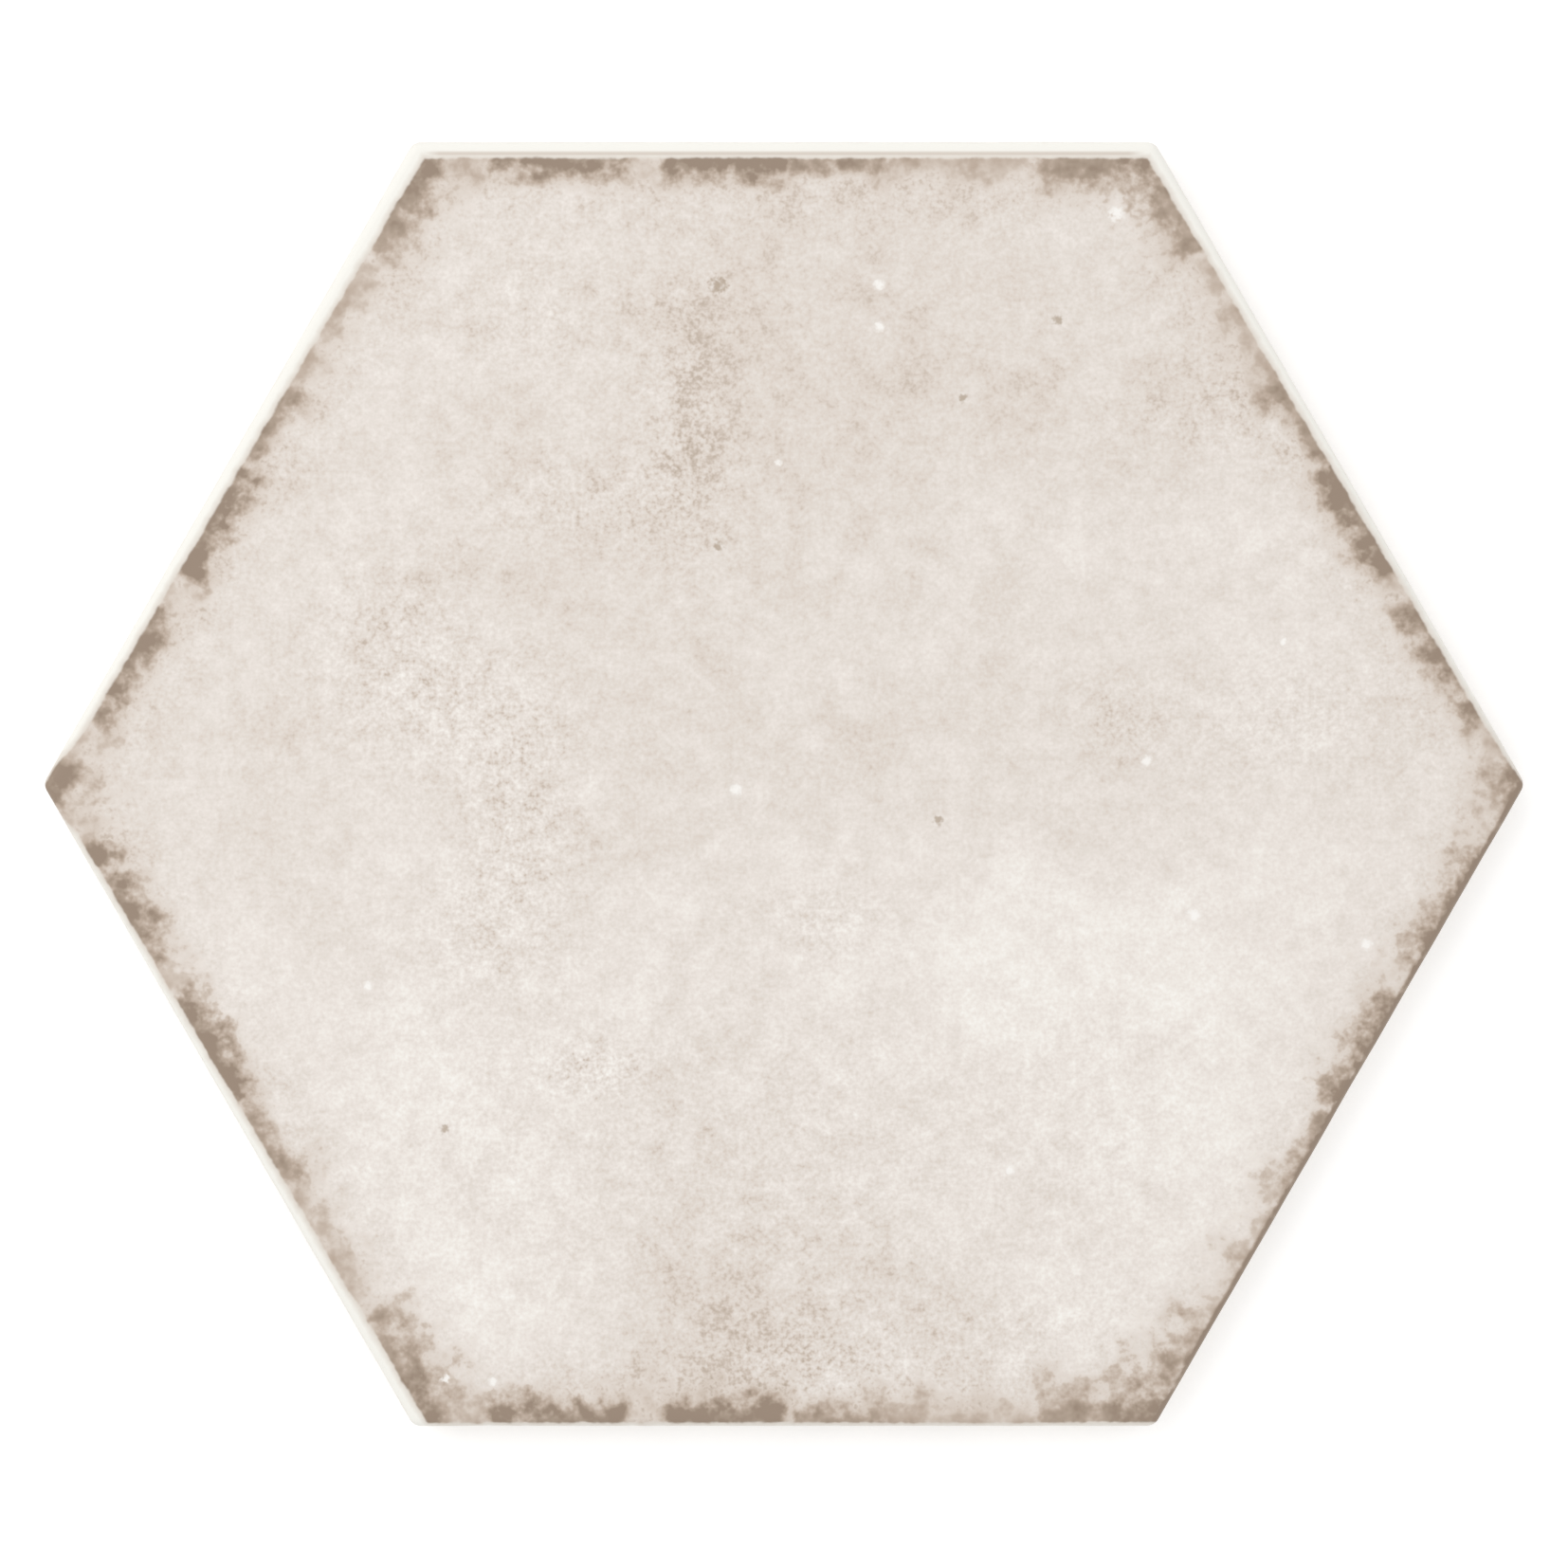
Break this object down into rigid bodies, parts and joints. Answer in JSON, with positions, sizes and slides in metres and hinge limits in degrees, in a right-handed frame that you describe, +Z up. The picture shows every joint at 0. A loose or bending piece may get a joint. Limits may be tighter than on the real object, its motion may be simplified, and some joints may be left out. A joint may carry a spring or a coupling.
{
  "type": "hexagon floor tile",
  "caption": "Flat regular-hexagon glazed floor tile with a rolled edge, inward-leaning side walls and a honeycomb-keyed back, worn brown round the rim of its cream face.",
  "frame": {"origin": "on the bed plane (the back's rib tops), under the middle of the hexagon", "axes": "+Z up out of the glazed face; +X from the middle to the right-hand corner of the picture; +Y to the upper side of the picture, square to it"},
  "size_m": [0.2492, 0.2164, 0.0095],
  "materials": {
    "glazed_stoneware": "satin cream glaze, clouded and worn to taupe brown along the rim; bare beige fired body on the side walls and back"
  },
  "bodies": {
    "root": {"hexagon_tile": "glazed_stoneware"}
  },
  "joints": []
}
